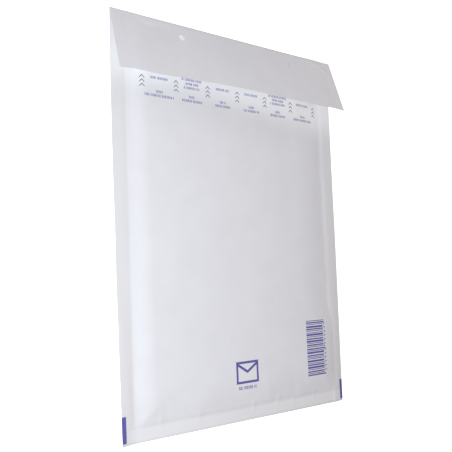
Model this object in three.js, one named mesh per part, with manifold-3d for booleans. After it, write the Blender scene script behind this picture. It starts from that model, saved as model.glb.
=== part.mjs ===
// A padded mailing envelope, empty, lying on its address side with the flap folded over.
// One sheet of white paper makes the two panels and the flap. A folded bubble film lines it,
// and a peel-off strip covers the glue under the flap.
// Millimetres. +Z is up, +Y runs towards the flap, and the origin is under the middle of the body.
import * as THREE from "three";
import { mergeVertices } from "three/addons/utils/BufferGeometryUtils.js";
import Module from "manifold-3d";

// Paper body
const WIDTH = 200; // across the side seams
const LENGTH = 275; // from the bottom edge to the furthest of the flap's fold
const PAPER = 0.15; // one sheet
const SIDE_SEAM = 10; // flat welded margin at each side
const BOTTOM_SEAM = 10; // flat welded margin at the bottom
const WELD = 0.1; // film melted between the two sheets of a seam
const SHOULDER = 15; // slope between a seam and the full padding
const MOUTH_SETBACK = 4; // from the nearest of the fold to the back panel's edge
const MOUTH_LIFT = 0.8; // how far the back panel gapes at the mouth
const MOUTH_RISE = 40; // length over which it gapes
const PLEAT_HEIGHT = 0.35; // paper gathered along the bottom seam
const PLEAT_PITCH = 50; // spacing of those gathers

// Bubble film lining
const FILM = 2.2; // one wall of film, bubbles included
const POCKET_GAP = 0.4; // clear space between the two walls
const LINER_CLEARANCE = 0.3; // between film and paper
const FILM_EDGE = 0.2; // both walls pressed flat at the film's edge
const LINER_INSET = 5; // from the seams to the film's edge
const POCKET_WELD = 5; // film joined to film around the pocket

// Flap, folded by hand, so not quite square, and springing up from the fold
const FLAP_LENGTH = 42.6; // from the top of the fold to the free edge
const FOLD_HEIGHT = 3.2; // top of the fold above the seams, over the padding
const FOLD_EDGE_HEIGHT = 2; // the same at the two ends, where the fold lies tighter
const FOLD_LEAN = 2.5; // rise of the fold's top from the left end to the right end
const FOLD_SKEW = 2.3; // how much nearer the fold lies at the right end
const FLAP_TILT = 16.5; // degrees that the flap rises from the fold
const FLAP_TWIST = 1.9; // more degrees at the right end, fewer at the left
const FLAP_BOW = 5; // more degrees halfway along the fold
const HOLE_DIAMETER = 5; // punched holding holes
const HOLE_SPACING = 97;
const HOLE_FROM_FOLD = 10;

// Peel-off strip over the glue line
const STRIP_WIDTH = 20;
const STRIP_FROM_EDGE = 5;
const STRIP_THICKNESS = 0.12;
const STRIP_GAP = 0.3; // thickness of the glue that it covers

// Facets
const SEAM_STEPS = 1;
const SHOULDER_STEPS = 5;
const FIELD_STEPS = 14;
const FOLD_STEPS = 6; // even, so that one line lies on the outermost of the fold
const FLAP_STEPS = 8;
const STRIP_STEPS = 4;
const HOLE_SIDES = 20;

const HALF_WIDTH = WIDTH / 2;
const HALF_LENGTH = LENGTH / 2;
const HALF_SEAM = PAPER + WELD / 2;
const HALF_PAD = PAPER + LINER_CLEARANCE + FILM + POCKET_GAP / 2;
const MOUTH_Y = HALF_LENGTH - FOLD_SKEW - MOUTH_SETBACK;
const PAD_HALF_WIDTH = HALF_WIDTH - SIDE_SEAM;
const PAD_BOTTOM = -HALF_LENGTH + BOTTOM_SEAM;
const SEAM_Z = HALF_PAD; // the padding rests on the ground, so the seams stand this high
const PAST_MOUTH = 2; // how far a cutting solid reaches past the mouth

const wasm = await Module();
wasm.setup();

const radians = THREE.MathUtils.degToRad;
const unit = (t) => THREE.MathUtils.clamp(t, 0, 1);
const ease = (t) => THREE.MathUtils.smoothstep(t, 0, 1);

// Evenly spaced values from start to end, without start itself.
function stepsTo(start, end, count) {
  return Array.from({ length: count }, (_, k) => start + ((end - start) * (k + 1)) / count);
}

// Grid lines across the width: seam, shoulder, padded field, shoulder, seam.
function acrossStations(edge, shoulderSteps, fieldSteps) {
  const field = PAD_HALF_WIDTH - SHOULDER;
  return [
    -edge,
    ...stepsTo(-edge, -PAD_HALF_WIDTH, SEAM_STEPS),
    ...stepsTo(-PAD_HALF_WIDTH, -field, shoulderSteps),
    ...stepsTo(-field, field, fieldSteps),
    ...stepsTo(field, PAD_HALF_WIDTH, shoulderSteps),
    ...stepsTo(PAD_HALF_WIDTH, edge, SEAM_STEPS),
  ];
}

// Grid lines along the length: bottom seam, shoulder, padded field, rise to the mouth.
function alongStations(bottom, shoulderSteps, fieldSteps) {
  const riseStart = MOUTH_Y - MOUTH_RISE;
  return [
    bottom,
    ...stepsTo(bottom, PAD_BOTTOM, SEAM_STEPS),
    ...stepsTo(PAD_BOTTOM, PAD_BOTTOM + SHOULDER, shoulderSteps),
    ...stepsTo(PAD_BOTTOM + SHOULDER, riseStart, fieldSteps),
    ...stepsTo(riseStart, MOUTH_Y, shoulderSteps),
  ];
}

const ACROSS = acrossStations(HALF_WIDTH, SHOULDER_STEPS, FIELD_STEPS);
const ALONG = alongStations(-HALF_LENGTH, SHOULDER_STEPS, FIELD_STEPS);

// How full the padding is across the width, from 0 on a side seam to 1 on the padded field.
function sideFullness(x) {
  return Math.sin((unit((PAD_HALF_WIDTH - Math.abs(x)) / SHOULDER) * Math.PI) / 2);
}

// The same over the whole panel, with the bottom seam.
function fullness(x, y) {
  return sideFullness(x) * Math.sin((unit((y - PAD_BOTTOM) / SHOULDER) * Math.PI) / 2);
}

// Extra height of the back panel where its paper is gathered along the bottom seam.
function pleat(x, y) {
  const upShoulder = unit((y - PAD_BOTTOM) / SHOULDER);
  const wave = 0.5 + 0.5 * Math.sin((2 * Math.PI * x) / PLEAT_PITCH);
  return PLEAT_HEIGHT * wave * Math.sin(Math.PI * upShoulder) * sideFullness(x);
}

// Extra height of the back panel towards the mouth.
function gape(x, y) {
  return MOUTH_LIFT * ease((y - MOUTH_Y + MOUTH_RISE) / MOUTH_RISE) * sideFullness(x);
}

const padHeight = (x, y) => HALF_SEAM + (HALF_PAD - HALF_SEAM) * fullness(x, y);
const frontZ = (x, y) => SEAM_Z - padHeight(x, y);
const backZ = (x, y) => SEAM_Z + padHeight(x, y) + pleat(x, y) + gape(x, y);

// A closed sheet of columns by rows cells. place(column, row, upper) gives each corner's position.
function sheet(columns, rows, place) {
  const geometry = new THREE.BoxGeometry(1, 1, 1, columns, rows, 1);
  const position = geometry.getAttribute("position");
  for (let k = 0; k < position.count; k++) {
    const column = Math.round((position.getX(k) + 0.5) * columns);
    const row = Math.round((position.getY(k) + 0.5) * rows);
    position.setXYZ(k, ...place(column, row, position.getZ(k) > 0));
  }
  return geometry;
}

// A solid between a lower and an upper height over a grid of stations.
function quilt(across, along, lower, upper) {
  return sheet(across.length - 1, along.length - 1, (column, row, isUpper) => {
    const x = across[column];
    const y = along[row];
    return [x, y, (isUpper ? upper : lower)(x, Math.min(y, MOUTH_Y))];
  });
}

function solid(geometry) {
  const bare = geometry.clone().deleteAttribute("normal").deleteAttribute("uv");
  const merged = mergeVertices(bare, 1e-5);
  const vertProperties = merged.getAttribute("position").array;
  const triVerts = new Uint32Array(merged.index.array);
  return new wasm.Manifold(new wasm.Mesh({ numProp: 3, vertProperties, triVerts }));
}

function geometryOf(manifold) {
  const { vertProperties, triVerts } = manifold.getMesh();
  const geometry = new THREE.BufferGeometry();
  geometry.setAttribute("position", new THREE.BufferAttribute(vertProperties, 3));
  geometry.setIndex(new THREE.BufferAttribute(triVerts, 1));
  geometry.computeVertexNormals();
  return geometry;
}

// The flap's rise, as an angle, at a place across it: twisted, and bowed up between its ends.
function flapTilt(x) {
  const across = x / HALF_WIDTH;
  return radians(FLAP_TILT + FLAP_TWIST * across + FLAP_BOW * (1 - across ** 2));
}

// Height of the fold's top and the place of its outermost line, at a place across it.
function foldTop(x) {
  const padded = (FOLD_HEIGHT - FOLD_EDGE_HEIGHT) * sideFullness(x);
  return SEAM_Z + FOLD_EDGE_HEIGHT + padded + (FOLD_LEAN * x) / WIDTH;
}
const foldLine = (x) => HALF_LENGTH - FOLD_SKEW * (0.5 + x / WIDTH);

// Outer face of the fold at one x: a round turn that starts level at the front panel's end.
// A share of 0.5 is the outermost line of the fold, and 1 is its top, where the flap begins.
function foldPoint(x, share) {
  const turnEnd = Math.PI / 2 - flapTilt(x);
  const start = frontZ(x, MOUTH_Y);
  const radius = (foldTop(x) - start) / (1 + Math.sin(turnEnd));
  const angle = (share * 2 - 1) * (share < 0.5 ? Math.PI / 2 : turnEnd);
  return {
    y: foldLine(x) - radius + radius * Math.cos(angle),
    z: start + radius + radius * Math.sin(angle),
    inY: -Math.cos(angle),
    inZ: -Math.sin(angle),
  };
}

// Outer face of the flap at one x, a distance along it from the top of the fold.
function flapPoint(x, distance) {
  const top = foldPoint(x, 1);
  const tilt = flapTilt(x);
  return {
    y: top.y - distance * Math.cos(tilt),
    z: top.z + distance * Math.sin(tilt),
    inY: -Math.sin(tilt),
    inZ: -Math.cos(tilt),
  };
}

// A point of the folded paper moved inwards from its outer face.
const inside = (x, p, depth) => [x, p.y + p.inY * depth, p.z + p.inZ * depth];

// The pouch: both panels with their welded margins, open at the mouth.
function pouch() {
  const body = solid(quilt(ACROSS, ALONG, frontZ, backZ));
  const hollowAcross = ACROSS.filter((x) => Math.abs(x) <= PAD_HALF_WIDTH);
  const hollowAlong = [...ALONG.filter((y) => y >= PAD_BOTTOM), MOUTH_Y + PAST_MOUTH];
  const hollow = solid(
    quilt(
      hollowAcross,
      hollowAlong,
      (x, y) => frontZ(x, y) + PAPER,
      (x, y) => backZ(x, y) - PAPER,
    ),
  );
  return body.subtract(hollow);
}

// The flap with its round fold, running on from the front panel.
function flap() {
  const rows = 1 + FOLD_STEPS + FLAP_STEPS;
  return solid(
    sheet(ACROSS.length - 1, rows, (column, row, isInner) => {
      const x = ACROSS[column];
      const depth = isInner ? PAPER : 0;
      if (row === 0) return [x, MOUTH_Y, frontZ(x, MOUTH_Y) + depth];
      if (row <= FOLD_STEPS + 1) return inside(x, foldPoint(x, (row - 1) / FOLD_STEPS), depth);
      return inside(x, flapPoint(x, ((row - 1 - FOLD_STEPS) / FLAP_STEPS) * FLAP_LENGTH), depth);
    }),
  );
}

// A punch that cuts one round hole square through the flap.
function punch(x) {
  const p = flapPoint(x, HOLE_FROM_FOLD);
  const radius = HOLE_DIAMETER / 2;
  const cylinder = new THREE.CylinderGeometry(radius, radius, radius, HOLE_SIDES);
  const inward = new THREE.Vector3(0, p.inY, p.inZ);
  cylinder.applyQuaternion(new THREE.Quaternion().setFromUnitVectors(THREE.Object3D.DEFAULT_UP, inward));
  return solid(cylinder.translate(x, p.y, p.z));
}

function paperEnvelope() {
  const holes = [-1, 1].map((side) => punch((side * HOLE_SPACING) / 2));
  const punchedFlap = holes.reduce((left, hole) => left.subtract(hole), flap());
  return pouch().add(punchedFlap);
}

// The film: one soft slab inside the paper, with the flat pocket between its two walls.
function bubbleLiner() {
  const edge = PAD_HALF_WIDTH - LINER_INSET;
  const bottom = PAD_BOTTOM + LINER_INSET;
  const within = (values, low, high) => [low, ...values.filter((v) => v > low && v < high), high];
  const coarse = (values) => values.filter((_, k) => k % 2 === 0);
  const across = within(coarse(ACROSS), -edge, edge);
  const along = within(coarse(ALONG), bottom, MOUTH_Y);
  const filmHeight = (x, y) => Math.max(FILM_EDGE / 2, padHeight(x, y) - PAPER - LINER_CLEARANCE);
  const slab = solid(
    quilt(
      across,
      along,
      (x, y) => SEAM_Z - filmHeight(x, y),
      (x, y) => SEAM_Z + filmHeight(x, y) + gape(x, y),
    ),
  );
  const pocketAcross = within(across, -edge + POCKET_WELD, edge - POCKET_WELD);
  const pocketAlong = within(along, bottom + POCKET_WELD, MOUTH_Y + PAST_MOUTH);
  const pocket = solid(
    quilt(
      pocketAcross,
      pocketAlong,
      () => SEAM_Z - POCKET_GAP / 2,
      (x, y) => SEAM_Z + POCKET_GAP / 2 + gape(x, y),
    ),
  );
  return slab.subtract(pocket);
}

// The peel-off strip, following the flap's inner face.
function peelStrip() {
  const start = FLAP_LENGTH - STRIP_FROM_EDGE - STRIP_WIDTH;
  return sheet(ACROSS.length - 1, STRIP_STEPS, (column, row, isInner) => {
    const x = ACROSS[column];
    const depth = PAPER + STRIP_GAP + (isInner ? STRIP_THICKNESS : 0);
    return inside(x, flapPoint(x, start + (row / STRIP_STEPS) * STRIP_WIDTH), depth);
  });
}

const whitePaper = new THREE.MeshStandardMaterial({ color: "#e4e5eb", roughness: 0.75, metalness: 0 });
const clearFilm = new THREE.MeshStandardMaterial({ color: "#e8eef0", roughness: 0.3, metalness: 0 });
const siliconePaper = new THREE.MeshStandardMaterial({ color: "#e9e4d6", roughness: 0.4, metalness: 0 });

function piece(name, geometry, material) {
  const mesh = new THREE.Mesh(geometry, material);
  mesh.name = name;
  return mesh;
}

const envelope = new THREE.Group();
envelope.add(
  piece("paper_envelope", geometryOf(paperEnvelope()), whitePaper),
  piece("bubble_liner", geometryOf(bubbleLiner()), clearFilm),
  piece("peel_strip", peelStrip(), siliconePaper),
);

export default envelope;
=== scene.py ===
"""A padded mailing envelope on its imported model: paper, print, bubble film, peel strip and a studio."""

import math
from contextlib import contextmanager

import bpy
import numpy as np
from mathutils import Euler, Matrix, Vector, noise


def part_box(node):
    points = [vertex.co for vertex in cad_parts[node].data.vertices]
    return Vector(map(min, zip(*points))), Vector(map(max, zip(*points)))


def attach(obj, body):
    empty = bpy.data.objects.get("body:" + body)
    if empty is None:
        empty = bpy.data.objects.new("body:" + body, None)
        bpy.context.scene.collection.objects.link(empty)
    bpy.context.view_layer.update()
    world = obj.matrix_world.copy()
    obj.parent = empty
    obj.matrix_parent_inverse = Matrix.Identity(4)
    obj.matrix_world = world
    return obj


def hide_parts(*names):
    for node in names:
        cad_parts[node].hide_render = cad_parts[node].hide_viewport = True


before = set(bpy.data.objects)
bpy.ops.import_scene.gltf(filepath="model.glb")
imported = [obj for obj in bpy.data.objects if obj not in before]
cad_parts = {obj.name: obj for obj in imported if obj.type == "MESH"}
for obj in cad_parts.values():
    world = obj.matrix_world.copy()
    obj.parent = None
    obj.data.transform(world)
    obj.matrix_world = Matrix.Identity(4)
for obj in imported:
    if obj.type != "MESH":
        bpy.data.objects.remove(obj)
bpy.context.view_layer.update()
PAPER_LOW, PAPER_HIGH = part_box("paper_envelope")
_, FILM_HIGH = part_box("bubble_liner")

bl_info = {
    "name": "Padded Envelope",
    "version": (1, 0, 0),
    "blender": (4, 5, 0),
    "location": "View3D > Sidebar > Envelope",
    "description": "Builds a padded mailing envelope with its print, film lining, peel strip and studio",
    "category": "Object",
}

MM = 0.001


# Settings


def length_setting(label, about, default):
    """A length that a user may change, in metres."""
    return bpy.props.FloatProperty(
        name=label, description=about, default=default, min=0.0, precision=5,
        subtype="DISTANCE", unit="LENGTH",
    )


def angle_setting(label, about, default):
    """An angle that a user may change, given in degrees."""
    return bpy.props.FloatProperty(
        name=label, description=about, default=math.radians(default), subtype="ANGLE", unit="ROTATION"
    )


def colour_setting(label, about, default):
    """A colour that a user may change, in linear values."""
    return bpy.props.FloatVectorProperty(
        name=label, description=about, default=default, size=3, min=0.0, max=1.0, subtype="COLOR"
    )


def setting_names(group):
    """Names of a group's own settings, in order."""
    return [name for name in group.bl_rna.properties.keys() if name not in ("rna_type", "name")]


class EnvelopeSizes(bpy.types.PropertyGroup):
    """Sizes of the envelope's paper, lining and flap."""

    width: length_setting("Width", "Across the side seams", PAPER_HIGH[0] - PAPER_LOW[0])
    length: length_setting("Length", "From the bottom edge to the fold", PAPER_HIGH[1] - PAPER_LOW[1])
    paper: length_setting("Paper", "Thickness of one sheet", 0.15 * MM)
    weld: length_setting("Weld", "Melted film between the sheets of a seam", 0.1 * MM)
    side_seam: length_setting("Side seam", "Flat margin at each side", 10 * MM)
    bottom_seam: length_setting("Bottom seam", "Flat margin at the bottom", 9 * MM)
    shoulder: length_setting("Left shoulder", "Slope between the left seam and the full padding", 15 * MM)
    right_shoulder: length_setting("Right shoulder", "The same slope at the right", 30 * MM)
    low_shoulder: length_setting("Bottom shoulder", "The same slope at the bottom", 24 * MM)
    right_inset: length_setting("Right inset", "How far the padding stays off the right seam", 2.2 * MM)
    low_spread: length_setting("Low spread", "How far the padding covers that seam low down", 2.2 * MM)
    valley: length_setting("Valley", "Middling depth of the valley along the right seam", 0.45 * MM)
    curl: length_setting("Margin curl", "Largest rise of the side margins", 2.43 * MM)
    lip: length_setting("Lip", "Steep step at the foot of the padding along the bottom", 0.4 * MM)
    cut_droop: length_setting("Cut edge", "How far the cut bottom edge is pressed down", 0.5 * MM)
    cut_band: length_setting("Cut band", "Width of that pressed edge", 1.2 * MM)
    half_pad: length_setting("Half padding", "From the seams' middle to the paper's outer face", 2.85 * MM)
    mouth_y: length_setting("Mouth", "Back panel's upper edge, from the middle", FILM_HIGH[1])
    mouth_lift: length_setting("Mouth lift", "How far the back panel gapes at the mouth", 0.8 * MM)
    mouth_rise: length_setting("Mouth rise", "Length over which the back panel gapes", 40 * MM)
    pleat_height: length_setting("Pleats", "Height of the gathers along the bottom seam", 0.35 * MM)
    pleat_pitch: length_setting("Pleat pitch", "Spacing of the gathers", 50 * MM)
    pocket: length_setting("Pocket", "Clear space between the film's two walls", 0.4 * MM)
    flap_length: length_setting("Flap", "From the top of the fold to the free edge", 43.5 * MM)
    flap_skew: length_setting("Flap skew", "Extra length of the flap at its right end", 0.35 * MM)
    fold_height: length_setting("Fold height", "Top of the fold above the seams", 3.2 * MM)
    fold_edge_height: length_setting("Fold end height", "The same at the two ends", 2 * MM)
    fold_lean: length_setting("Fold lean", "Rise of the fold's top from left to right", 2.5 * MM)
    fold_skew: length_setting("Fold skew", "How much nearer the fold lies at the right", 2.9 * MM)
    flap_tilt: angle_setting("Flap tilt", "Rise of the flap from the fold", 16.5)
    flap_twist: angle_setting("Flap twist", "More rise at the right end, less at the left", 1.9)
    flap_bow: angle_setting("Flap bow", "More rise halfway along the fold", 5)
    hole: length_setting("Hole", "Diameter of a holding hole", 5 * MM)
    hole_spacing: length_setting("Hole spacing", "Between the two holes", 97 * MM)
    hole_from_fold: length_setting("Hole place", "From the top of the fold to a hole", 10 * MM)
    strip_width: length_setting("Strip width", "Peel strip across the flap", 20 * MM)
    strip_from_edge: length_setting("Strip place", "From the free edge to the strip", 5 * MM)
    strip: length_setting("Strip", "Thickness of the peel strip", 0.12 * MM)
    glue: length_setting("Glue", "Thickness of the glue under the strip", 0.3 * MM)
    film: length_setting("Film", "Thickness of a flat wall of film", 0.035 * MM)
    bubble: length_setting("Bubble", "Diameter of one air bubble", 9.4 * MM)
    bubble_pitch: length_setting("Bubble pitch", "Between neighbouring bubbles", 10.4 * MM)


class EnvelopeColours(bpy.types.PropertyGroup):
    """Colours of the envelope's materials."""

    paper: colour_setting("Paper", "Bleached mailing paper", (0.76, 0.765, 0.795))
    side_seam: colour_setting("Side seam", "Paper welded at the sides", (0.733, 0.733, 0.744))
    bottom_seam: colour_setting("Bottom seam", "Paper welded at the bottom", (0.785, 0.789, 0.807))
    # Painted light: brighter paper standing in for the light under the flap, the second colour where that
    # light is brightest
    clean: colour_setting("Clean paper", "Paper that the flap has kept clean", (0.87, 0.873, 0.895))
    painted_brightest: colour_setting("Deep paper", "Paper deep under the flap", (0.97, 0.97, 0.985))
    ink: colour_setting("Ink", "Blue print", (0.132, 0.122, 0.385))
    arrow_ink: colour_setting("Arrow ink", "Darker print of the arrows", (0.11, 0.108, 0.19))
    film: colour_setting("Film", "Clear bubble film", (0.86, 0.9, 0.92))
    release: colour_setting("Strip", "Siliconed release paper", (0.86, 0.85, 0.81))
    glue: colour_setting("Glue", "Hot-melt glue", (0.72, 0.66, 0.5))


# Form of the paper


def soft_noise(x, y, size, seed):
    """Smooth noise from -1 to 1 over points x and y, with lumps of about that size."""
    flat = [noise.noise((a / size, b / size, seed)) for a, b in zip(np.ravel(x), np.ravel(y))]
    return np.reshape(flat, np.shape(x))


def ease(t):
    """0 to 1 with level ends."""
    t = np.clip(t, 0, 1)
    return t * t * (3 - 2 * t)


def rounded_rise(share, foot):
    """0 to 1 along a quarter sine, with its start rounded out over a foot."""
    share = np.clip(share, 0, 1)
    eased = (np.sqrt(share**2 + foot**2) - foot) / (math.sqrt(1 + foot**2) - foot)
    return np.sin(eased * np.pi / 2)


def bump_at(distance, reach):
    """1 at no distance, fading to 0."""
    return np.exp(-((distance / reach) ** 2))


def ridge(x, y, start, end, reach):
    """A rounded crease between two points, highest halfway."""
    ax, ay = start
    dx, dy = end[0] - ax, end[1] - ay
    span = math.hypot(dx, dy)
    along = ((x - ax) * dx + (y - ay) * dy) / span**2
    across = ((x - ax) * dy - (y - ay) * dx) / span
    return np.sin(np.pi * np.clip(along, 0, 1)) * bump_at(across, reach)


class EnvelopeForm:
    """Heights and folds of the paper, from the settings."""

    # How softly the padding starts at each seam, as a share of its shoulder
    left_foot = 0.22
    right_foot = 0.06
    low_foot = 0.05

    def __init__(self, sizes):
        for name in setting_names(sizes):
            setattr(self, name, getattr(sizes, name))
        self.half_width = self.width / 2
        self.half_length = self.length / 2
        self.pad_x = self.half_width - self.side_seam
        self.pad_y = -self.half_length + self.bottom_seam
        self.seam_z = self.half_pad
        self.half_seam = self.paper + self.weld / 2

    def seam_line(self, x):
        """The bottom seam isn't quite straight: how far it wanders."""
        slow = 0.7 * MM * soft_noise(x, 0 * x, size=23 * MM, seed=4.3)
        quick = 0.35 * MM * soft_noise(x, 0 * x, size=8 * MM, seed=1.7)
        return slow + quick

    def upper(self, y):
        """0 at the lower end of the side seams and 1 along the rest of them."""
        start, length = -85 * MM, 30 * MM
        return ease((y - start) / length)

    def inside(self, x, y):
        """Distance inwards from the foot of the padding at the nearer side."""
        upper = self.upper(y)
        held_back = self.right_inset * upper - self.low_spread * (1 - upper)
        return self.pad_x - np.abs(x) - held_back * (x > 0)

    def side_fullness(self, x, y):
        """0 on a side seam and 1 on the padded field."""
        inside = self.inside(x, y)
        left = rounded_rise(inside / self.shoulder, self.left_foot)
        low_share, more_above = 0.55, 0.45
        reach = self.right_shoulder * (low_share + more_above * self.upper(y))
        right = rounded_rise(inside / reach, self.right_foot)
        return np.where(x < 0, left, right)

    def up_share(self, x, y):
        """0 on the bottom seam and 1 above its shoulder."""
        return np.clip((y - self.pad_y - self.seam_line(x)) / self.low_shoulder, 0, 1)

    def fullness(self, x, y):
        """0 on any seam and 1 on the padded field."""
        return self.side_fullness(x, y) * rounded_rise(self.up_share(x, y), self.low_foot)

    def low_lip(self, x, y):
        """Extra height just inside the bottom seam, which fades out further up."""
        share = self.up_share(x, y)
        step = 2.4 * MM
        rise = ease(share * self.low_shoulder / step) * (1 - ease(share))
        return self.lip * rise * self.side_fullness(x, y)

    def pad(self, x, y):
        """Height of the padding on one side of the seams' middle."""
        return self.half_seam + (self.half_pad - self.half_seam) * self.fullness(x, y) + self.low_lip(x, y)

    def gape(self, x, y):
        """Extra height of the back panel towards the mouth."""
        rise = ease((y - self.mouth_y + self.mouth_rise) / self.mouth_rise)
        return self.mouth_lift * rise * self.side_fullness(x, y)

    def seam_sway(self, x, y):
        """How far both sheets of a margin rise or sink together."""
        overlap, fade = 2 * MM, 8 * MM
        out_side = ease((np.abs(x) - self.pad_x + overlap) / fade)
        out_bottom = ease((self.pad_y + overlap - y) / fade)
        out = np.maximum(out_side, out_bottom)
        wave = 0.35 * MM * soft_noise(x, y, size=38 * MM, seed=7.1) * out
        sway = wave - self.pressed_line(x, y) - self.right_valley(x, y) + self.margin_curl(x, y)
        near_fold = 20 * MM
        below_fold = 1 - ease((y - self.mouth_y + near_fold) / near_fold)
        return sway * below_fold - self.cut_edge(y)

    def pressed_line(self, x, y):
        """Depth of the line that the welding bar has pressed along the padding."""
        depth, past_pad, reach, end_fade = 0.16 * MM, 0.4 * MM, 1.3 * MM, 10 * MM
        line = bump_at(np.abs(x) - self.pad_x - past_pad, reach) * ease((y - self.pad_y) / end_fade)
        return depth * line * np.where(x > 0, 1 - self.upper(y), 1)

    def right_valley(self, x, y):
        """Depth of the valley along the right seam, which is deepest near the flap."""
        past = -self.inside(x, y)
        width, inner_reach = self.right_inset + 1 * MM, 7 * MM
        outer = np.clip(1 - past / width, 0, 1)
        places = np.array((-70, -45, -10, 25, 55)) * MM
        share = np.interp(y, places, (1, 0.3, 0.65, 1.1, 1.3))
        dip = np.where(past > 0, outer, bump_at(past, inner_reach)) * self.upper(y) * share
        return self.valley * dip * (x > 0)

    def margin_curl(self, x, y):
        """The left margin stands up low down and hangs further up, the right one the other way."""
        places = np.array((-137, -120, -100, -85, -50, 0, 45, 80, 105, 130)) * MM
        left = np.interp(y, places, (1.35, 1.0, 0.9, 0.65, 0.3, 0, -0.35, -0.5, -0.45, -0.2))
        right = np.interp(y, places, (-0.6, -0.55, -0.5, -0.33, -0.2, -0.1, 0, 0.1, 0.1, 0))
        # The curl would level off half a band past the edge
        band = np.where(x < 0, 12 * MM, 7 * MM)
        out = ease((np.abs(x) - self.half_width + band) / (1.5 * band))
        return self.curl * np.where(x < 0, left, right) * out

    def cut_edge(self, y):
        """The bottom margin is pressed down along its cut."""
        return self.cut_droop * ease(1 - (y + self.half_length) / self.cut_band)

    def pleats(self, x, y):
        """Gathers along the bottom seam."""
        up = self.up_share(x, y)
        side = self.side_fullness(x, y)
        wave = 0.5 + 0.5 * np.sin(2 * np.pi * x / self.pleat_pitch)
        lean, stretch = 0.25, 0.12
        crinkle = soft_noise(x + lean * y, stretch * y, size=6 * MM, seed=9.2)
        low = np.sin(np.pi * np.sqrt(up))
        return side * (self.pleat_height * wave * np.sin(np.pi * up) + 0.22 * MM * crinkle * low)

    def crinkles(self, x, y):
        """Small cross creases where the paper turns down to a side seam."""
        inside = self.inside(x, y)
        middle, reach, start = 3.5 * MM, 5 * MM, 2 * MM
        band = bump_at(inside - middle, reach) * ease(inside / start)
        height = np.where(x > 0, 0.25 * MM, 0.1 * MM)
        height = height * (0.65 + 0.35 * soft_noise(x, y, size=45 * MM, seed=2.5))
        stretch, lean = 0.35, 0.4
        return band * height * soft_noise(stretch * x, y + lean * np.abs(x), size=7 * MM, seed=5.5)

    def dents(self, x, y):
        """Soft unevenness of the padded field and the puckers at its corners."""
        full = self.fullness(x, y)
        broad = 0.22 * MM * soft_noise(x, y, size=55 * MM, seed=3.1)
        small = 0.06 * MM * soft_noise(x, y, size=17 * MM, seed=6.6)
        left, right, low = -self.pad_x, self.pad_x, self.pad_y
        pucker = ridge(x, y, (left - 1 * MM, low - 1 * MM), (left + 22 * MM, low + 15 * MM), 2.6 * MM)
        hollow = ridge(x, y, (left + 2 * MM, low + 8 * MM), (left + 15 * MM, low + 22 * MM), 3.0 * MM)
        other = ridge(x, y, (right + 1 * MM, low - 1 * MM), (right - 18 * MM, low + 16 * MM), 2.6 * MM)
        return (broad + small) * full + 0.28 * MM * pucker - 0.12 * MM * hollow + 0.25 * MM * other

    def kinks(self, x, y):
        """Short creases across the foot of the padding at the bottom, and one where the right seam ends."""
        width = 1.1 * MM
        seam_top = (89.8 * MM, self.pad_y + 4 * MM)
        seam_end = (90.6 * MM, self.pad_y - 12 * MM)
        total = 0.55 * MM * ridge(x, y, seam_top, seam_end, width)
        creases = (
            (5.8, 1.4, 0.5), (-40, -1.2, 0.25), (31, -2.5, 0.35),
            (44, 2.2, 0.3), (66, 1.6, 0.3), (-72, 2, 0.3),
        )
        for middle, lean, height in creases:
            top = (middle * MM, self.pad_y + 7 * MM)
            foot = ((middle + lean) * MM, self.pad_y - 5 * MM)
            total = total + height * MM * ridge(x, y, top, foot, width)
        return total

    def back(self, x, y):
        """Outer face of the back panel."""
        plain = self.seam_z + self.pad(x, y) + self.gape(x, y)
        side_fade, low_fade = 3 * MM, 2 * MM
        inside = ease((self.pad_x - np.abs(x)) / side_fade) * ease((y - self.pad_y) / low_fade)
        fine = (self.pleats(x, y) + self.crinkles(x, y) + self.dents(x, y)) * inside
        return plain + fine + self.kinks(x, y) + self.seam_sway(x, y)

    def front(self, x, y):
        """Outer face of the front panel, flat where it rests."""
        return np.maximum(self.seam_z - self.pad(x, y) + self.seam_sway(x, y), 0)

    def tilt(self, x):
        """Rise of the flap, as an angle, at a place across it."""
        across = x / self.half_width
        return self.flap_tilt + self.flap_twist * across + self.flap_bow * (1 - across**2)

    def fold(self, x, share):
        """Outer face of the fold and its inward direction, from its foot at a share of 0 to its top at 1."""
        turn_end = np.pi / 2 - self.tilt(x)
        start = self.front(x, self.mouth_y + 0 * x)
        share_in = np.clip((self.pad_x - np.abs(x)) / self.shoulder, 0, 1)
        padded = (self.fold_height - self.fold_edge_height) * np.sin(share_in * np.pi / 2)
        top = self.seam_z + self.fold_edge_height + padded + self.fold_lean * x / self.width
        line = self.half_length - self.fold_skew * (0.5 + x / self.width)
        radius = (top - start) / (1 + np.sin(turn_end))
        angle = (share * 2 - 1) * np.where(share < 0.5, np.pi / 2, turn_end)
        y = line - radius + radius * np.cos(angle)
        z = start + radius + radius * np.sin(angle)
        return y, z, -np.cos(angle), -np.sin(angle)

    def flap(self, x, distance):
        """Outer face of the flap and its inward direction, at a distance from the top of the fold."""
        y, z, _, _ = self.fold(x, np.ones_like(x))
        tilt = self.tilt(x)
        return y - distance * np.cos(tilt), z + distance * np.sin(tilt), -np.sin(tilt), -np.cos(tilt)

    def flap_creases(self, x, distance):
        """Small creases near the flap's corner and a slight wave of its free edge."""
        right = self.half_width
        near = ridge(x, distance, (right - 21 * MM, 2 * MM), (right - 3 * MM, 11 * MM), 1.3 * MM)
        far = ridge(x, distance, (right - 26 * MM, 1 * MM), (right - 20 * MM, 4 * MM), 1.6 * MM)
        wave = soft_noise(x, distance, size=48 * MM, seed=8.8) * (distance / self.flap_length) ** 2
        return 0.8 * MM * near + 0.5 * MM * far + 0.5 * MM * wave

    def flap_point(self, x, distance, depth):
        """A point of the flap, that far inwards from its outer face."""
        y, z, in_y, in_z = self.flap(x, distance)
        depth = depth - self.flap_creases(x, distance)
        return np.stack([x, y + in_y * depth, z + in_z * depth], axis=1)


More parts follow.
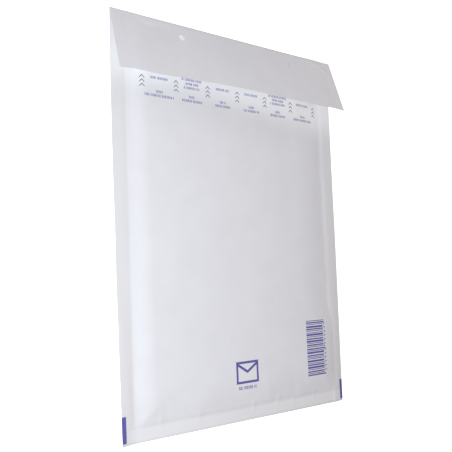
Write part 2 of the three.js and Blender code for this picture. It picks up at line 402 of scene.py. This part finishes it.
def steps(start, *runs):
    """Grid lines from a start on, through runs of (end, count)."""
    lines = [start]
    for end, count in runs:
        lines.extend(np.linspace(lines[-1], end, count + 1)[1:])
    return np.array(lines)


# Modelling helpers


def only(*objs):
    """Selects these objects alone, the first of them active."""
    bpy.ops.object.select_all(action="DESELECT")
    for obj in objs:
        obj.select_set(True)
    bpy.context.view_layer.objects.active = objs[0]


def rename(obj, name):
    """Names an object and its mesh."""
    obj.name = name
    obj.data.name = name


def new_grid(name, columns, rows):
    """A flat grid of that many cells from -1 to 1 each way, and its points' column and row numbers."""
    bpy.ops.object.select_all(action="DESELECT")
    bpy.ops.mesh.primitive_grid_add(x_subdivisions=columns, y_subdivisions=rows, size=2, location=(0, 0, 0))
    obj = bpy.context.object
    rename(obj, name)
    points = points_of(obj)
    column = np.rint((points[:, 0] + 1) / 2 * columns).astype(int)
    row = np.rint((points[:, 1] + 1) / 2 * rows).astype(int)
    return obj, column, row


def points_of(obj):
    """A mesh's points as an array."""
    points = np.empty(len(obj.data.vertices) * 3)
    obj.data.vertices.foreach_get("co", points)
    return points.reshape(-1, 3)


def move_points(obj, points):
    """Moves a mesh's points."""
    obj.data.vertices.foreach_set("co", np.asarray(points, dtype=np.float64).ravel())
    obj.data.update()


@contextmanager
def edit_mode():
    """Edit mode on the active object, and object mode again afterwards."""
    bpy.ops.object.mode_set(mode="EDIT")
    yield
    bpy.ops.object.mode_set(mode="OBJECT")


def drop_points(obj, which):
    """Deletes the chosen points of a mesh and the faces round them."""
    only(obj)
    with edit_mode():
        bpy.ops.mesh.select_mode(type="VERT")
        bpy.ops.mesh.select_all(action="DESELECT")
    obj.data.vertices.foreach_set("select", which)
    with edit_mode():
        bpy.ops.mesh.delete(type="VERT")


def apply_modifier(obj, kind, **settings):
    """Adds one modifier and applies it."""
    only(obj)
    modifier = obj.modifiers.new(kind.title(), kind)
    for key, value in settings.items():
        setattr(modifier, key, value)
    bpy.ops.object.modifier_apply(modifier=modifier.name)


def thicken(obj, thickness):
    """Gives a sheet its thickness, inwards from the face that it has."""
    apply_modifier(obj, "SOLIDIFY", thickness=thickness, offset=-1.0, use_even_offset=False)


def repeat(obj, count, offset):
    """Makes a row of that many copies of a mesh, each moved on by the offset."""
    apply_modifier(
        obj, "ARRAY", count=count, use_relative_offset=False, use_constant_offset=True,
        constant_offset_displace=offset,
    )


def turn_faces(obj):
    """Turns every face of a sheet to its other side."""
    only(obj)
    with edit_mode():
        bpy.ops.mesh.select_all(action="SELECT")
        bpy.ops.mesh.flip_normals()


def join(name, *objs):
    """Makes one object of several."""
    only(*objs)
    bpy.ops.object.join()
    obj = bpy.context.object
    rename(obj, name)
    return obj


def smooth(obj, angle):
    """Smooth shading, apart from edges sharper than the angle in degrees."""
    only(obj)
    bpy.ops.object.shade_smooth_by_angle(angle=math.radians(angle))


def wear(obj, material):
    """Gives a piece its material and ties it to the envelope's body."""
    obj.data.materials.clear()
    obj.data.materials.append(material)
    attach(obj, "root")


# Materials


def opaque(colour, level=1.0):
    """A colour with full alpha, scaled by a level."""
    return (*(channel * level for channel in colour), 1.0)


def feed(socket, value):
    """Links a flow to a socket, or gives the socket a plain value."""
    if isinstance(value, Flow):
        value.tree.links.new(value.socket, socket)
    else:
        socket.default_value = value


class Flow:
    """A socket of a node tree. Arithmetic on it adds Math nodes."""

    def __init__(self, tree, socket=None):
        self.tree = tree
        self.socket = socket

    def node(self, kind, settings=None, inputs=None, output=0):
        """Adds a node with its settings and inputs, and gives one of its outputs."""
        made = self.tree.nodes.new(kind)
        for key, value in (settings or {}).items():
            setattr(made, key, value)
        for key, value in (inputs or {}).items():
            feed(made.inputs[key], value)
        return Flow(self.tree, made.outputs[output])

    def other(self, output):
        """Another output of the same node."""
        return Flow(self.tree, self.socket.node.outputs[output])

    def math(self, operation, *others):
        """This value and others through one Math node."""
        return self.node("ShaderNodeMath", {"operation": operation}, dict(enumerate((self, *others))))

    def __add__(self, other):
        return self.math("ADD", other)

    __radd__ = __add__

    def __mul__(self, other):
        return self.math("MULTIPLY", other)

    __rmul__ = __mul__

    def __sub__(self, other):
        return self.math("SUBTRACT", other)

    def __rsub__(self, other):
        return self.node("ShaderNodeMath", {"operation": "SUBTRACT"}, {0: other, 1: self})

    def __abs__(self):
        return self.math("ABSOLUTE")

    def between(self, low, high):
        """0 at low, 1 at high and smooth in between."""
        return self.node(
            "ShaderNodeMapRange", {"interpolation_type": "SMOOTHSTEP"},
            {"Value": self, "From Min": low, "From Max": high},
        )

    def blend(self, first, second):
        """A colour from first at 0 to second at 1."""
        return self.node("ShaderNodeMix", {"data_type": "RGBA"}, {0: self, 6: first, 7: second}, output=2)

    def shade(self, colour, low, high):
        """One colour, scaled by low at 0 and by high at 1."""
        return self.blend(opaque(colour, low), opaque(colour, high))


class Finish:
    """A material with one Principled shader, its coordinates and helpers for its patterns."""

    def __init__(self, name):
        self.material = bpy.data.materials.new(name)
        self.material.use_nodes = True
        tree = self.material.node_tree
        self.shader = tree.nodes["Principled BSDF"]
        self.place = Flow(tree).node("ShaderNodeTexCoord", output="Object")
        self.x = self.place.node("ShaderNodeSeparateXYZ", inputs={0: self.place}, output="X")
        self.y, self.z = self.x.other("Y"), self.x.other("Z")

    def noise(self, size, detail=2.0, rough=0.5):
        """Noise from 0 to 1 with lumps of about that size in metres."""
        sockets = {"Vector": self.place, "Scale": 1 / size, "Detail": detail, "Roughness": rough}
        return self.place.node("ShaderNodeTexNoise", inputs=sockets)

    def set(self, **inputs):
        """Sets the shader's sockets to values or flows. An underscore in a name stands for a space."""
        for key, value in inputs.items():
            feed(self.shader.inputs[key.replace("_", " ")], value)
        return self

    def relief(self, height, depth, strength):
        """Bump of that depth in metres from a height of 0 to 1."""
        sockets = {"Height": height, "Distance": depth, "Strength": strength}
        return self.set(Normal=height.node("ShaderNodeBump", inputs=sockets))


def paper_finish(form, colours):
    """Bleached paper, greyer at the welds, with painted shade at the flap's left end and painted light,
    brighter paper, on the back panel under the flap.
    """
    look = Finish("white_paper")
    fibre = look.noise(0.9 * MM, detail=4.0, rough=0.6)
    cloud = look.noise(16 * MM)
    tone = (fibre * 0.5 + cloud * 0.5).between(0.3, 0.7)
    plain = tone.shade(colours.paper, 0.975, 1.02)
    # A darker copy of the paper tone, painted shade for the flap's left end
    painted_shade = tone.shade(colours.paper, 0.925, 0.97)

    # Welded margins, with soft inner edges
    before, past = 0.6 * MM, 0.8 * MM
    side = abs(look.x).between(form.pad_x - before, form.pad_x + past)
    low = (0 - look.y).between(-form.pad_y - before, -form.pad_y + past)
    over_seam = form.seam_z + 1.2 * MM
    margin = look.z.between(over_seam, form.seam_z + 0.7 * MM)
    seam = side.math("MAXIMUM", low) * margin
    welded = low.blend(opaque(colours.side_seam), opaque(colours.bottom_seam))

    # Painted light on the back panel below the flap, from a slanted line up to the mouth: brighter paper,
    # brightest deep under the flap and towards the right
    padded = abs(look.x).between(form.pad_x, form.pad_x - form.shoulder)
    above = look.z - padded * (form.half_pad + 0.3 * MM)
    panel = above.between(over_seam, form.seam_z + 0.6 * MM)
    right = look.x.between(-50 * MM, 70 * MM)
    edge, full, slant, widening = 83 * MM, 100 * MM, 9 * MM, 8 * MM
    start = (look.y + right * slant).between(edge - right * widening, full)
    mouth = look.y.between(129.3 * MM, 127.8 * MM)
    light_band = start * mouth * panel
    far_in = look.y.between(100 * MM, 122 * MM) * padded
    painted_brightest = far_in.math("MAXIMUM", right * (0.35 + 0.65 * padded))
    # The painted light's two levels of brighter paper
    clean = padded.shade(colours.clean, 0.92, 1.0)

    # Painted shade: a darker paper tone at the flap's left end
    flap_end_shade = look.x.between(-45 * MM, -80 * MM) * look.y.between(80 * MM, 88 * MM) * (1 - panel)

    # Paper with its painted shade and welds, then the painted light band under the flap
    body = seam.blend(flap_end_shade.blend(plain, painted_shade), welded)
    look.set(
        Base_Color=light_band.blend(body, painted_brightest.blend(clean, opaque(colours.painted_brightest))),
        Roughness=0.62 + 0.12 * cloud,
        Specular_IOR_Level=0.3,
    )
    return look.relief(fibre, depth=0.012 * MM, strength=0.6).material


def ink_finish(name, colour):
    """Matt ink, paler in specks where it lies thin."""
    look = Finish(name)
    speck = look.noise(0.5 * MM, detail=3.0, rough=0.6)
    look.set(
        Base_Color=speck.between(0.45, 0.8).shade(colour, 0.95, 1.25),
        Roughness=0.55 + 0.1 * speck,
        Specular_IOR_Level=0.3,
    )
    return look.material


def film_finish(colours):
    """Clear, slightly milky bubble film."""
    look = Finish("bubble_film")
    haze = look.noise(5 * MM)
    look.set(
        Base_Color=haze.shade(colours.film, 0.94, 1.02),
        Roughness=0.16 + 0.12 * haze,
        Alpha=0.38 + 0.2 * haze,
        IOR=1.5,
    )
    look.material.surface_render_method = "BLENDED"
    return look.material


def release_finish(colours):
    """Siliconed release paper with a low gloss."""
    look = Finish("release_paper")
    fibre = look.noise(1.1 * MM, detail=3.0, rough=0.6)
    look.set(
        Base_Color=fibre.shade(colours.release, 0.96, 1.04),
        Roughness=0.3 + 0.1 * fibre,
    )
    return look.relief(fibre, depth=0.008 * MM, strength=0.5).material


def glue_finish(colours):
    """Pale tacky glue."""
    look = Finish("glue")
    lump = look.noise(2.5 * MM)
    look.set(
        Base_Color=lump.shade(colours.glue, 0.9, 1.05),
        Roughness=0.22 + 0.15 * lump,
    )
    return look.relief(lump, depth=0.04 * MM, strength=0.6).material


# Operators


def read_settings(context):
    """The form and the colours that the operators use."""
    return EnvelopeForm(context.scene.envelope_sizes), context.scene.envelope_colours


class ENVELOPE_OT_paper(bpy.types.Operator):
    """Build the folded paper: back panel, front panel, welded margins and the flap with its holes"""

    bl_idname = "envelope.paper"
    bl_label = "Paper"

    # Rings of grid lines from a hole's middle to its rim, and from there to where the grid runs straight
    rim_rings = 2
    fade_rings = 4

    def execute(self, context):
        form, colours = read_settings(context)
        across = steps(
            -form.half_width,
            (-form.pad_x, 7),
            (-form.pad_x + form.shoulder, 15),
            (form.pad_x - form.shoulder, 118),
            (form.pad_x, 15),
            (form.half_width, 7),
        )
        back = self.back_panel(form, across)
        front = self.front_panel(form, across)
        paper = join("envelope_paper", back, front)
        smooth(paper, angle=50)
        wear(paper, paper_finish(form, colours))
        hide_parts("paper_envelope")
        return {"FINISHED"}

    def back_panel(self, form, across):
        """The padded back panel as one thin sheet."""
        near_mouth = form.mouth_y - 30 * MM
        along = steps(
            -form.half_length,
            (-form.half_length + form.cut_band, 3),
            (form.pad_y, 6),
            (form.pad_y + form.shoulder, 16),
            (near_mouth, 116),
            (form.mouth_y, 14),
        )
        sheet, column, row = new_grid("back_panel", len(across) - 1, len(along) - 1)
        x, y = across[column], along[row]
        move_points(sheet, np.stack([x, y, form.back(x, y)], axis=1))
        thicken(sheet, form.paper)
        return sheet

    def front_panel(self, form, across):
        """The flat front panel, running on round the fold into the flap."""
        along = steps(
            -form.half_length,
            (-form.half_length + form.cut_band, 3),
            (form.pad_y, 4),
            (form.pad_y + form.shoulder, 8),
            (form.mouth_y, 40),
        )
        last, fold_rows, flap_rows = len(along) - 1, 12, 30
        sheet, column, row = new_grid("front_panel", len(across) - 1, last + fold_rows + flap_rows)
        x, y = across[column], along[np.minimum(row, last)]
        points = np.stack([x, y, form.front(x, y)], axis=1)

        share = (row - last) / fold_rows
        fold_y, fold_z, _, _ = form.fold(x, np.clip(share, 0, 1))
        in_fold = (share > 0) & (share <= 1)
        points[in_fold] = np.stack([x, fold_y, fold_z], axis=1)[in_fold]

        hole_row = last + fold_rows + round(form.hole_from_fold / form.flap_length * flap_rows)
        holes = []
        for middle in (-form.hole_spacing / 2, form.hole_spacing / 2):
            holes.append((np.argmin(np.abs(across - middle)), hole_row, middle))
        reach = form.flap_length + form.flap_skew * x / form.half_width
        distance = np.clip((row - last - fold_rows) / flap_rows, 0, 1) * reach
        for hole in holes:
            x, distance = self.round_out(form, hole, column, row, x, distance)
        points[share > 1] = form.flap_point(x, distance, 0.0)[share > 1]

        move_points(sheet, points)
        rings = [self.ring(hole, column, row) for hole in holes]
        drop_points(sheet, np.minimum(*rings) < self.rim_rings)
        turn_faces(sheet)
        thicken(sheet, form.paper)
        return sheet

    def ring(self, hole, column, row):
        """Number of the square ring of grid points round a hole."""
        hole_column, hole_row, _ = hole
        return np.maximum(np.abs(column - hole_column), np.abs(row - hole_row))

    def round_out(self, form, hole, column, row, x, distance):
        """Draws the flap's grid lines near a hole into rings round it, the rim among them."""
        hole_column, hole_row, middle = hole
        over, along = column - hole_column, row - hole_row
        beside = np.abs(over) >= np.abs(along)
        side_turn = along / np.where(over == 0, 1, over)
        end_turn = over / np.where(along == 0, 1, along)
        angle = np.where(
            beside,
            np.pi / 4 * side_turn + np.pi * (over < 0),
            np.pi / 2 - np.pi / 4 * end_turn + np.pi * (along < 0),
        )
        ring = self.ring(hole, column, row)
        radius = form.hole / 2 * ring / self.rim_rings
        share = 1 - ease((ring - self.rim_rings) / self.fade_rings)
        new_x = middle + radius * np.cos(angle)
        new_distance = form.hole_from_fold + radius * np.sin(angle)
        return x + (new_x - x) * share, distance + (new_distance - distance) * share


class ENVELOPE_OT_film(bpy.types.Operator):
    """Build the bubble film lining: two walls of film with their air bubbles"""

    bl_idname = "envelope.film"
    bl_label = "Bubble film"

    def execute(self, context):
        form, colours = read_settings(context)
        walls = [self.wall(form, side) for side in (-1, 1)]
        bubbles = [self.bubbles(form, side) for side in (-1, 1)]
        film = join("bubble_film", *walls, *bubbles)
        smooth(film, angle=60)
        wear(film, film_finish(colours))
        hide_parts("bubble_liner")
        return {"FINISHED"}

    def base(self, form, x, y, side):
        """Height of a wall's flat film, on the pocket's side."""
        least, steepness = 0.01 * MM, 4
        half = least + (form.pocket / 2) * ease(form.fullness(x, y) * steepness)
        return form.seam_z + side * half + (side > 0) * form.gape(x, y) + form.seam_sway(x, y)

    def wall(self, form, side):
        """One flat film, welded into the margins."""
        columns, rows = 60, 90
        sheet, column, row = new_grid("film_wall", columns, rows)
        inset, mouth_inset = 0.6 * MM, 0.5 * MM
        across = np.linspace(-form.half_width + inset, form.half_width - inset, columns + 1)
        along = np.linspace(-form.half_length + inset, form.mouth_y - mouth_inset, rows + 1)
        x, y = across[column], along[row]
        move_points(sheet, np.stack([x, y, self.base(form, x, y, side)], axis=1))
        if side > 0:
            turn_faces(sheet)
        thicken(sheet, form.film)
        return sheet

    def bubbles(self, form, side):
        """Air bubbles in staggered rows, lower where the padding thins out."""
        pitch, step = form.bubble_pitch, form.bubble_pitch * math.sqrt(3)
        margin, spare = 8 * MM, 3 * MM + form.right_inset
        count_x = int((2 * form.pad_x - margin - spare) / pitch)
        count_y = int((form.mouth_y - form.pad_y - margin) / step)
        pair = join("bubble_pair", self.dome(form), self.dome(form, (pitch / 2, step / 2)))
        repeat(pair, count_x, (pitch, 0, 0))
        repeat(pair, count_y, (0, step, 0))
        points = points_of(pair)
        points[:, 0] -= (count_x - 0.5) * pitch / 2 + spare / 2
        points[:, 1] += form.pad_y + margin
        x, y = points[:, 0], points[:, 1]
        foot, clearance, least = 0.04 * MM, 0.3 * MM, 0.02 * MM
        room = form.pad(x, y) - form.paper - form.pocket / 2 - clearance
        height = points[:, 2] * np.maximum(room, least)
        points[:, 2] = self.base(form, x, y, side) + side * (foot + height)
        move_points(pair, points)
        if side < 0:
            turn_faces(pair)
        return pair

    def dome(self, form, place=(0.0, 0.0)):
        """One closed bubble of height 1, with a flat foot."""
        bpy.ops.object.select_all(action="DESELECT")
        bpy.ops.mesh.primitive_cylinder_add(
            vertices=12, radius=form.bubble / 2, depth=1.0, location=(*place, 0.5), end_fill_type="NGON"
        )
        dome = bpy.context.object
        with edit_mode():
            bpy.ops.mesh.select_all(action="DESELECT")
        for face in dome.data.polygons:
            face.select = face.normal.z > 0.9
        wall, crown = 0.6, ((0.12, 0.3), (0.16, 0.1))
        with edit_mode():
            bpy.ops.mesh.select_mode(type="FACE")
            bpy.ops.transform.translate(value=(0, 0, wall - 1))
            for inset, rise in crown:
                bpy.ops.mesh.inset(thickness=form.bubble * inset, depth=0.0)
                bpy.ops.transform.translate(value=(0, 0, rise))
        bpy.ops.object.transform_apply(location=True, rotation=True, scale=True)
        return dome


class ENVELOPE_OT_strip(bpy.types.Operator):
    """Build the peel strip and the glue line under the flap"""

    bl_idname = "envelope.strip"
    bl_label = "Peel strip"

    def execute(self, context):
        form, colours = read_settings(context)
        start = form.flap_length - form.strip_from_edge - form.strip_width
        strip = self.band(
            form, "peel_strip_paper", start, form.strip_width,
            short=0.0, depth=form.paper + form.glue, thickness=form.strip,
        )
        smooth(strip, angle=50)
        wear(strip, release_finish(colours))
        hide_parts("peel_strip")
        inset, gap = 2 * MM, 0.02 * MM
        glue = self.band(
            form, "glue_line", start + inset, form.strip_width - 2 * inset,
            short=1.5 * MM, depth=form.paper + gap, thickness=form.glue - 2 * gap,
        )
        smooth(glue, angle=50)
        wear(glue, glue_finish(colours))
        return {"FINISHED"}

    def band(self, form, name, start, width, short, depth, thickness):
        """A thin band across the flap's inner face, that much short of each end."""
        columns, rows = 80, 12
        sheet, column, row = new_grid(name, columns, rows)
        across = np.linspace(-form.half_width + short, form.half_width - short, columns + 1)
        move_points(sheet, form.flap_point(across[column], start + row / rows * width, depth))
        turn_faces(sheet)
        thicken(sheet, thickness)
        return sheet


class ENVELOPE_OT_print(bpy.types.Operator):
    """Lay the print on the back panel: arrows, lines of blocks, a bar field, a sign and corner marks"""

    bl_idname = "envelope.print"
    bl_label = "Print"

    # Columns and rows of the arrows
    column_count, middle_column, column_pitch = 7, 0.9 * MM, 26.6 * MM
    row_count, low_row, row_pitch = 3, 88.9 * MM, 2.9 * MM

    def execute(self, context):
        form, colours = read_settings(context)
        ink = ink_finish("blue_ink", colours.ink)
        arrow_ink = ink_finish("arrow_ink", colours.arrow_ink)
        self.paper = bpy.data.objects["envelope_paper"]
        self.form = form
        self.settle(self.arrows(), "print_arrows", arrow_ink)
        self.settle(self.bars(self.block_lines()), "print_lines", ink)
        self.settle(self.bars(self.bar_field()), "print_bar_field", ink)
        self.settle(self.bars(self.corner_marks()), "print_corner_marks", ink)
        self.settle(self.bars(self.letter_sign()), "print_letter_sign", ink)
        return {"FINISHED"}

    def settle(self, obj, name, ink):
        """Presses flat marks onto the paper and gives them a skin of ink."""
        lift, skin = 0.03 * MM, 0.02 * MM
        rename(obj, name)
        apply_modifier(
            obj, "SHRINKWRAP", target=self.paper, wrap_method="PROJECT", use_project_z=True,
            use_negative_direction=True, use_positive_direction=False, offset=lift,
        )
        thicken(obj, skin)
        wear(obj, ink)

    def column(self, number):
        """Place of a column of arrows across the panel."""
        return self.middle_column + (number - self.column_count // 2) * self.column_pitch

    def sag(self, x):
        """How much lower the row of print under the flap lies towards its right end."""
        drop, reach = 0.8 * MM, 80 * MM
        return drop * (np.maximum(x, 0) / reach) ** 2

    def hover(self):
        """A height over the back panel and under the flap, from which marks are pressed down."""
        clearance = 3 * MM
        return self.form.seam_z + self.form.half_pad + clearance

    def arrows(self):
        """Rows of small arrowheads that point to the flap."""
        half, stroke, peak = 1.75 * MM, 0.7 * MM, 1.3 * MM
        arrow, _, _ = new_grid("arrow", 6, 1)
        points = points_of(arrow)
        x = points[:, 0] * half
        y = self.low_row + points[:, 1] * stroke / 2 - np.abs(x) + peak
        move_points(arrow, np.stack([x + self.column(0), y, 0 * x + self.hover()], axis=1))
        repeat(arrow, self.row_count, (0, self.row_pitch, 0))
        repeat(arrow, self.column_count, (self.column_pitch, 0, 0))
        points = points_of(arrow)
        points[:, 1] -= self.sag(points[:, 0])
        move_points(arrow, points)
        return arrow

    def bars(self, rectangles):
        """Flat bars of (middle x, middle y, width, height, slope), the slope only where there is one."""
        cell = 1.2 * MM
        # An empty mesh, to which the bars are added
        bpy.ops.object.select_all(action="DESELECT")
        bpy.ops.mesh.primitive_plane_add(size=1, location=(0, 0, 0))
        obj = bpy.context.object
        with edit_mode():
            bpy.ops.mesh.select_all(action="SELECT")
            bpy.ops.mesh.delete(type="VERT")
        for x, y, wide, high, *slope in rectangles:
            columns, rows = (max(1, round(side / cell)) for side in (wide, high))
            first = len(obj.data.vertices)
            with edit_mode():
                bpy.ops.mesh.primitive_grid_add(
                    x_subdivisions=columns, y_subdivisions=rows, size=2, location=(0, 0, 0)
                )
            points = points_of(obj)
            points[first:, 0] = x + points[first:, 0] * wide / 2
            points[first:, 1] = y + points[first:, 1] * high / 2 + sum(slope) * (points[first:, 0] - x)
            points[first:, 2] = self.hover()
            move_points(obj, points)
        return obj

    def block_line(self, middle, width, y, height, seed):
        """A line of plain blocks of mixed widths, with a wider gap here and there."""
        widths, gap, wide_gap = (0.34, 0.48, 0.4, 0.55, 0.3), 0.5 * MM, 1.2 * MM
        place, end = middle - width / 2, middle + width / 2
        blocks, k = [], seed
        while place < end - gap:
            wide = min(widths[k % len(widths)] * MM, end - place)
            blocks.append((place + wide / 2, y, wide, height))
            place += wide + (wide_gap if k % 9 == 4 else gap)
            k += 1
        return blocks

    def block_lines(self):
        """Lines of plain blocks in six groups between the arrows, from (place, width) in millimetres."""
        height = 1.75 * MM
        uppers = (13.6, 17, 11.8, 12.6, 18.6, 14)
        lowers = (23, 17, 13.6, 15, 15.8, 20.6)
        marks = []
        for k, (upper, lower) in enumerate(zip(uppers, lowers)):
            middle = (self.column(k) + self.column(k + 1)) / 2
            lines = [(95.4, upper)]
            if k in (1, 4):
                lines = [(98.1, upper), (95.3, upper * 0.62), (92.5, upper * 0.8)]
            lines += [(86.3, 5.2), (83.5, lower)]
            for n, (y, width) in enumerate(lines):
                seed = 3 * k + 5 * n
                marks += self.block_line(middle, width * MM, y * MM - self.sag(middle), height, seed)
        return marks

    def bar_field(self):
        """A field of bars of mixed widths, some of them longer, with small blocks beside it."""
        left, right, longer = 59.4 * MM, 77.6 * MM, 1.6 * MM
        y, low = -72.6 * MM, -113.2 * MM
        widths = (0.55, 1.0, 0.55, 1.45, 1.0, 0.55, 0.55, 1.45, 0.55, 1.0, 1.45, 0.55, 1.0)
        gaps = (0.6, 0.5, 0.85, 0.5, 0.5, 0.9, 0.5, 0.5, 0.85, 0.6, 0.5)
        marks, k = [], 0
        while y > low:
            wide, gap = widths[k % len(widths)] * MM, gaps[k % len(gaps)] * MM
            is_long = k in (0, 1, 13, 14) or y - wide - gap < low
            reach = right + (longer if is_long else 0)
            marks.append(((left + reach) / 2, y - wide / 2, reach - left, wide))
            y -= wide + gap
            k += 1
        first, pitch, half_gap, stroke = -75.2 * MM, 3.05 * MM, 1.4 * MM, 0.6 * MM
        for n in range(12):
            middle = first - n * pitch - (half_gap if n > 5 else 0)
            marks.append((79.4 * MM, middle, 1.8 * MM, stroke))
            marks.append((79.0 * MM, middle - 0.95 * MM, 0.9 * MM, stroke))
        return marks

    def corner_marks(self):
        """Solid bars at the two lower corners."""
        inset, wide, high = 0.1 * MM, 3.3 * MM, 16 * MM
        left_y, right_y = -127.7 * MM, -128.7 * MM
        place = self.form.half_width - wide / 2 - inset
        return [(-place, left_y, wide, high), (place, right_y, wide, high)]

    def letter_sign(self):
        """A plain outline of a letter, with a line of blocks under it."""
        x, y, wide, high, line = 0.0, -103.8 * MM, 20 * MM, 13.6 * MM, 1.65 * MM
        marks = [
            (x, y + high / 2, wide, line),
            (x, y - high / 2, wide, line),
            (x - wide / 2 + line / 2, y, line, high - line),
            (x + wide / 2 - line / 2, y, line, high - line),
        ]
        reach, drop, slanted_line = wide / 2 - line / 2, high * 0.42, 1.25 * line
        middle = y + high / 2 - line / 2 - drop / 2
        for side in (-1, 1):
            marks.append((x + side * reach / 2, middle, reach, slanted_line, side * drop / reach))
        return marks + self.block_line(x, width=16 * MM, y=-114.4 * MM, height=2.2 * MM, seed=1)


class ENVELOPE_OT_stage(bpy.types.Operator):
    """Set up the pale floor, the soft light and the camera"""

    bl_idname = "envelope.stage"
    bl_label = "Stage"

    def execute(self, context):
        self.floor()
        self.lights(context.scene)
        self.camera(context.scene)
        context.scene.view_settings.view_transform = "Standard"
        return {"FINISHED"}

    def floor(self):
        """A wide pale floor, white to the camera apart from the object's shadow."""
        bpy.ops.object.select_all(action="DESELECT")
        bpy.ops.mesh.primitive_plane_add(size=12, location=(0, 0, 0))
        floor = bpy.context.object
        floor.name = "floor"
        look = Finish("pale_floor")
        path = look.place.node("ShaderNodeLightPath", output="Is Camera Ray")
        seen = path.math("MAXIMUM", path.other("Is Glossy Ray"))
        seen = seen.math("MAXIMUM", path.other("Is Transmission Ray"))
        glow = 0.85
        look.set(
            Base_Color=(0.8, 0.8, 0.8, 1),
            Roughness=0.9,
            Specular_IOR_Level=0.0,
            Emission_Color=(1, 1, 1, 1),
            Emission_Strength=seen * glow,
        )
        floor.data.materials.append(look.material)

    def lights(self, scene):
        """A cool lamp behind the camera, a fill from the far right, and warm even light from all round."""
        self.lamp(
            scene, "key", place=(-0.388, -0.081, 0.455), size=0.05, energy=2.835,
            colour=(0.935, 1.0, 1.061),
        )
        self.lamp(
            scene, "fill", place=(0.58, 0.42, 0.22), size=0.3, energy=1.11,
            colour=(0.97, 1.0, 1.042),
        )
        world = bpy.data.worlds.new("studio")
        world.use_nodes = True
        tree = world.node_tree
        path = Flow(tree).node("ShaderNodeLightPath", output="Is Camera Ray")
        warm, white = (0.284, 0.237, 0.214, 1), (1, 1, 1, 1)
        feed(tree.nodes["Background"].inputs["Color"], path.blend(warm, white))
        scene.world = world

    def lamp(self, scene, name, place, size, energy, colour):
        """A round lamp that shines on the middle of the envelope."""
        lamp = bpy.data.lights.new(name, "AREA")
        lamp.shape = "DISK"
        lamp.size = size
        lamp.energy = energy
        lamp.color = colour
        obj = bpy.data.objects.new(name, lamp)
        scene.collection.objects.link(obj)
        obj.location = place
        obj.rotation_euler = (-obj.location).to_track_quat("-Z", "Y").to_euler()
        obj.visible_camera = False

    def camera(self, scene):
        """A camera over the envelope's left side, with the flap at the top of the picture."""
        lens = bpy.data.cameras.new("camera")
        lens.sensor_width = 36.0
        lens.lens = 52.705
        lens.clip_start = 0.01
        camera = bpy.data.objects.new("camera", lens)
        scene.collection.objects.link(camera)
        place, degrees = (-0.30084, -0.03979, 0.36598), (6.5304, -38.288, -2.8955)
        turn = Euler([math.radians(angle) for angle in degrees])
        camera.matrix_world = Matrix.Translation(place) @ turn.to_matrix().to_4x4()
        scene.camera = camera


class ENVELOPE_PT_panel(bpy.types.Panel):
    """Lists the envelope's pieces and settings"""

    bl_idname = "ENVELOPE_PT_panel"
    bl_label = "Padded Envelope"
    bl_space_type = "VIEW_3D"
    bl_region_type = "UI"
    bl_category = "Envelope"

    def draw(self, context):
        for operator in OPERATORS:
            self.layout.operator(operator.bl_idname)
        for group in (context.scene.envelope_sizes, context.scene.envelope_colours):
            for name in setting_names(group):
                self.layout.prop(group, name)


OPERATORS = (ENVELOPE_OT_paper, ENVELOPE_OT_film, ENVELOPE_OT_strip, ENVELOPE_OT_print, ENVELOPE_OT_stage)
CLASSES = (EnvelopeSizes, EnvelopeColours, *OPERATORS, ENVELOPE_PT_panel)


def register():
    """Adds the classes and the scene's settings."""
    for item in CLASSES:
        bpy.utils.register_class(item)
    bpy.types.Scene.envelope_sizes = bpy.props.PointerProperty(type=EnvelopeSizes)
    bpy.types.Scene.envelope_colours = bpy.props.PointerProperty(type=EnvelopeColours)


def unregister():
    """Takes them away again."""
    del bpy.types.Scene.envelope_colours
    del bpy.types.Scene.envelope_sizes
    for item in reversed(CLASSES):
        bpy.utils.unregister_class(item)


def main():
    """Builds every piece in order."""
    register()
    bpy.ops.envelope.paper()
    bpy.ops.envelope.film()
    bpy.ops.envelope.strip()
    bpy.ops.envelope.print()
    bpy.ops.envelope.stage()


if __name__ == "__main__":
    main()
